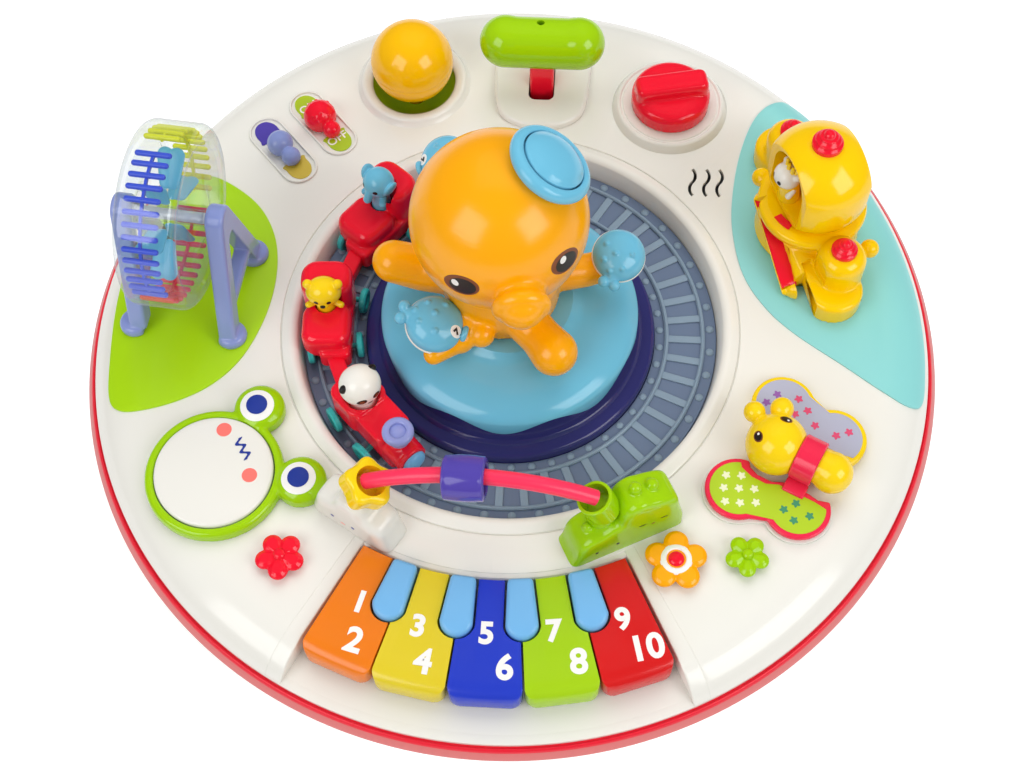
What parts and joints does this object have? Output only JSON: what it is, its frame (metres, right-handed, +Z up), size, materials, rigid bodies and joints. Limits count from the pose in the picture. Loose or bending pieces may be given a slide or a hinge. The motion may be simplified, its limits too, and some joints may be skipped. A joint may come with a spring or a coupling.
{
  "type": "musical activity table",
  "caption": "Round toy activity table with a piano keyboard, a train on a ring track round an octopus, a spinning drum, a turning castle and press, slide and turn controls.",
  "frame": {"origin": "centre of the table on the floor under its rubber feet", "axes": "+Z up, keyboard towards -Y, drum towards -X, castle towards +X"},
  "size_m": [0.4699, 0.47, 0.2226],
  "materials": {
    "white_plastic": "white injection-moulded plastic, glossy",
    "red_plastic": "red injection-moulded plastic, glossy",
    "green_plastic": "lime green injection-moulded plastic, glossy",
    "pad_plastic": "coloured skin moulded on the deck, lime green on the left and pale teal on the right",
    "dark_rubber": "dark soft rubber, matt",
    "screw_steel": "plated steel",
    "track_plastic": "slate blue moulded plastic, satin",
    "navy_plastic": "navy moulded plastic, glossy",
    "cyan_plastic": "light blue moulded plastic, glossy",
    "orange_plastic": "orange moulded plastic, glossy",
    "lavender_plastic": "lavender moulded plastic, glossy",
    "clear_plastic": "clear moulded plastic",
    "band_plastic": "blue, yellow-green and red toothed bands, light blue paddles",
    "yellow_plastic": "yellow moulded plastic, glossy",
    "purple_plastic": "purple moulded plastic, glossy",
    "key_orange_plastic": "orange moulded plastic, glossy",
    "key_yellow_plastic": "olive yellow moulded plastic, glossy",
    "key_blue_plastic": "deep blue moulded plastic, glossy",
    "sky_plastic": "sky blue moulded plastic, glossy",
    "rider_plastic": "white, yellow and light blue moulded animals",
    "wheel_plastic": "teal moulded plastic, satin",
    "board_laminate": "green printed circuit board",
    "speaker_black": "black speaker frame and cone",
    "battery_label": "plain coloured battery sleeve"
  },
  "bodies": {
    "table": {"bottom_housing": "white_plastic", "rim_trim": "red_plastic", "top_deck": "white_plastic", "deck_pads": "pad_plastic", "rubber_feet": "dark_rubber", "housing_screws": "screw_steel", "track_ring": "track_plastic", "sea_hub": "navy_plastic", "wave_dome": "cyan_plastic", "octopus_body": "orange_plastic", "octopus_fish": "cyan_plastic", "hat_brim": "cyan_plastic", "drum_stands": "lavender_plastic", "castle_base": "yellow_plastic", "castle_trim": "red_plastic", "cloud_stand": "white_plastic", "star_socket": "yellow_plastic", "hill_stand": "green_plastic", "arch_tube": "red_plastic", "frog_frame": "green_plastic", "book_base": "white_plastic", "book_bear": "yellow_plastic", "joystick_dish": "green_plastic", "circuit_board": "board_laminate", "speaker": "speaker_black", "batteries": "battery_label", "battery_door": "white_plastic"},
    "train": {"train_cars": "red_plastic", "train_riders": "rider_plastic"},
    "drum": {"drum_shell": "clear_plastic", "drum_insert": "band_plastic"},
    "tower": {"castle_tower": "yellow_plastic"},
    "hat": {"hat_button": "cyan_plastic"},
    "bead": {"arch_bead": "purple_plastic"},
    "frog": {"frog_pad": "white_plastic"},
    "red_flower": {"flower_red": "red_plastic"},
    "orange_flower": {"flower_orange": "orange_plastic"},
    "green_flower": {"flower_green": "green_plastic"},
    "page": {"book_page": "red_plastic"},
    "gimbal": {"joystick_gimbal": "screw_steel"},
    "stick": {"joystick_ball": "orange_plastic"},
    "lever": {"t_lever": "green_plastic"},
    "knob": {"rotary_knob": "red_plastic"},
    "red_slider": {"slider_red": "red_plastic"},
    "lavender_slider": {"slider_lavender": "lavender_plastic"},
    "orange_key": {"key_orange": "key_orange_plastic"},
    "yellow_key": {"key_yellow": "key_yellow_plastic"},
    "blue_key": {"key_blue": "key_blue_plastic"},
    "green_key": {"key_green": "green_plastic"},
    "red_key": {"key_red": "red_plastic"},
    "sharp_key_1": {"sharp_1": "sky_plastic"},
    "sharp_key_2": {"sharp_2": "sky_plastic"},
    "sharp_key_3": {"sharp_3": "sky_plastic"},
    "sharp_key_4": {"sharp_4": "sky_plastic"},
    "wheels_1": {"wheels_1": "wheel_plastic"},
    "wheels_2": {"wheels_2": "wheel_plastic"},
    "wheels_3": {"wheels_3": "wheel_plastic"},
    "wheels_4": {"wheels_4": "wheel_plastic"},
    "wheels_5": {"wheels_5": "wheel_plastic"},
    "wheels_6": {"wheels_6": "wheel_plastic"}
  },
  "joints": [
    {"name": "train_run", "type": "hinge", "parent": "table", "child": "train", "pos_m": [0, 0, 0.075], "axis": [0, 0, 1], "continuous": true},
    {"name": "wheels_1_spin", "type": "hinge", "parent": "train", "child": "wheels_1", "pos_m": [-0.06498, -0.07242, 0.0708], "axis": [-0.6678, -0.7443, 0], "continuous": true},
    {"name": "wheels_2_spin", "type": "hinge", "parent": "train", "child": "wheels_2", "pos_m": [-0.08019, -0.05511, 0.0708], "axis": [-0.8241, -0.5664, 0], "continuous": true},
    {"name": "wheels_3_spin", "type": "hinge", "parent": "train", "child": "wheels_3", "pos_m": [-0.09551, -0.01857, 0.0708], "axis": [-0.9816, -0.1908, 0], "continuous": true},
    {"name": "wheels_4_spin", "type": "hinge", "parent": "train", "child": "wheels_4", "pos_m": [-0.09623, 0.01438, 0.0708], "axis": [-0.989, 0.1478, 0], "continuous": true},
    {"name": "wheels_5_spin", "type": "hinge", "parent": "train", "child": "wheels_5", "pos_m": [-0.08551, 0.04643, 0.0708], "axis": [-0.8788, 0.4772, 0], "continuous": true},
    {"name": "wheels_6_spin", "type": "hinge", "parent": "train", "child": "wheels_6", "pos_m": [-0.06636, 0.07116, 0.0708], "axis": [-0.682, 0.7314, 0], "continuous": true},
    {"name": "drum_spin", "type": "hinge", "parent": "table", "child": "drum", "pos_m": [-0.175, 0.012, 0.15], "axis": [0.9956, -0.0941, 0], "continuous": true},
    {"name": "tower_turn", "type": "hinge", "parent": "table", "child": "tower", "pos_m": [0.162, 0.068, 0.106], "axis": [0, 0, 1], "continuous": true},
    {"name": "hat_press", "type": "slide", "parent": "table", "child": "hat", "axis": [-0.5372, -0.143, -0.8313], "range_m": [0, 0.002], "stiffness_N_per_m": 250, "springref_m": -0.003},
    {"name": "frog_press", "type": "slide", "parent": "table", "child": "frog", "axis": [0, 0, -1], "range_m": [0, 0.002], "stiffness_N_per_m": 250, "springref_m": -0.003},
    {"name": "red_flower_press", "type": "slide", "parent": "table", "child": "red_flower", "axis": [0, 0, -1], "range_m": [0, 0.002], "stiffness_N_per_m": 250, "springref_m": -0.003},
    {"name": "orange_flower_press", "type": "slide", "parent": "table", "child": "orange_flower", "axis": [0, 0, -1], "range_m": [0, 0.002], "stiffness_N_per_m": 250, "springref_m": -0.003},
    {"name": "green_flower_press", "type": "slide", "parent": "table", "child": "green_flower", "axis": [0, 0, -1], "range_m": [0, 0.002], "stiffness_N_per_m": 250, "springref_m": -0.003},
    {"name": "orange_key_press", "type": "hinge", "parent": "table", "child": "orange_key", "pos_m": [-0.05315, -0.1392, 0.065], "axis": [0.9342, -0.3567, 0], "range_deg": [0, 3], "stiffness_Nm_per_rad": 1, "springref_deg": -3.44},
    {"name": "yellow_key_press", "type": "hinge", "parent": "table", "child": "yellow_key", "pos_m": [-0.02703, -0.14653, 0.065], "axis": [0.9834, -0.1814, 0], "range_deg": [0, 3], "stiffness_Nm_per_rad": 1, "springref_deg": -3.44},
    {"name": "blue_key_press", "type": "hinge", "parent": "table", "child": "blue_key", "pos_m": [0, -0.149, 0.065], "axis": [1, 0, 0], "range_deg": [0, 3], "stiffness_Nm_per_rad": 1, "springref_deg": -3.44},
    {"name": "green_key_press", "type": "hinge", "parent": "table", "child": "green_key", "pos_m": [0.02703, -0.14653, 0.065], "axis": [0.9834, 0.1814, 0], "range_deg": [0, 3], "stiffness_Nm_per_rad": 1, "springref_deg": -3.44},
    {"name": "red_key_press", "type": "hinge", "parent": "table", "child": "red_key", "pos_m": [0.05315, -0.1392, 0.065], "axis": [0.9342, 0.3567, 0], "range_deg": [0, 3], "stiffness_Nm_per_rad": 1, "springref_deg": -3.44},
    {"name": "sharp_key_1_press", "type": "hinge", "parent": "table", "child": "sharp_key_1", "pos_m": [-0.04307, -0.14264, 0.065], "axis": [0.9573, -0.289, 0], "range_deg": [0, 3], "stiffness_Nm_per_rad": 1, "springref_deg": -3.44},
    {"name": "sharp_key_2_press", "type": "hinge", "parent": "table", "child": "sharp_key_2", "pos_m": [-0.01389, -0.14835, 0.065], "axis": [0.9956, -0.0932, 0], "range_deg": [0, 3], "stiffness_Nm_per_rad": 1, "springref_deg": -3.44},
    {"name": "sharp_key_3_press", "type": "hinge", "parent": "table", "child": "sharp_key_3", "pos_m": [0.01389, -0.14835, 0.065], "axis": [0.9956, 0.0932, 0], "range_deg": [0, 3], "stiffness_Nm_per_rad": 1, "springref_deg": -3.44},
    {"name": "sharp_key_4_press", "type": "hinge", "parent": "table", "child": "sharp_key_4", "pos_m": [0.04307, -0.14264, 0.065], "axis": [0.9573, 0.289, 0], "range_deg": [0, 3], "stiffness_Nm_per_rad": 1, "springref_deg": -3.44},
    {"name": "page_flip", "type": "hinge", "parent": "table", "child": "page", "pos_m": [0.15794, -0.08178, 0.089], "axis": [-0.8965, 0.4431, 0], "range_deg": [0, 150]},
    {"name": "bead_slide", "type": "hinge", "parent": "table", "child": "bead", "pos_m": [-0.0045, -0.119, 0.01934], "axis": [-0.0381, -0.9993, 0], "range_deg": [-24, 14]},
    {"name": "lever_tilt", "type": "hinge", "parent": "table", "child": "lever", "pos_m": [0.0095, 0.164, 0.052], "axis": [1, 0, 0], "range_deg": [-15, 15], "stiffness_Nm_per_rad": 0.4},
    {"name": "knob_turn", "type": "hinge", "parent": "table", "child": "knob", "pos_m": [0.085, 0.15, 0.08], "axis": [0, 0, 1], "range_deg": [-135, 135]},
    {"name": "red_slide", "type": "slide", "parent": "table", "child": "red_slider", "axis": [0.6691, -0.7431, 0], "range_m": [-0.007, 0.007]},
    {"name": "lavender_slide", "type": "slide", "parent": "table", "child": "lavender_slider", "axis": [0.6691, -0.7431, 0], "range_m": [-0.007, 0.007]},
    {"name": "stick_x", "type": "hinge", "parent": "table", "child": "gimbal", "pos_m": [-0.0665, 0.1615, 0.057], "axis": [1, 0, 0], "range_deg": [-8, 8], "stiffness_Nm_per_rad": 0.4},
    {"name": "stick_y", "type": "hinge", "parent": "gimbal", "child": "stick", "pos_m": [-0.0665, 0.1615, 0.057], "axis": [0, 1, 0], "range_deg": [-8, 8], "stiffness_Nm_per_rad": 0.4}
  ],
  "couplings": [
    {"joint": "wheels_1_spin", "follows": "train_run", "ratio": -13.714},
    {"joint": "wheels_2_spin", "follows": "train_run", "ratio": -13.714},
    {"joint": "wheels_3_spin", "follows": "train_run", "ratio": -13.714},
    {"joint": "wheels_4_spin", "follows": "train_run", "ratio": -13.714},
    {"joint": "wheels_5_spin", "follows": "train_run", "ratio": -13.714},
    {"joint": "wheels_6_spin", "follows": "train_run", "ratio": -13.714}
  ]
}
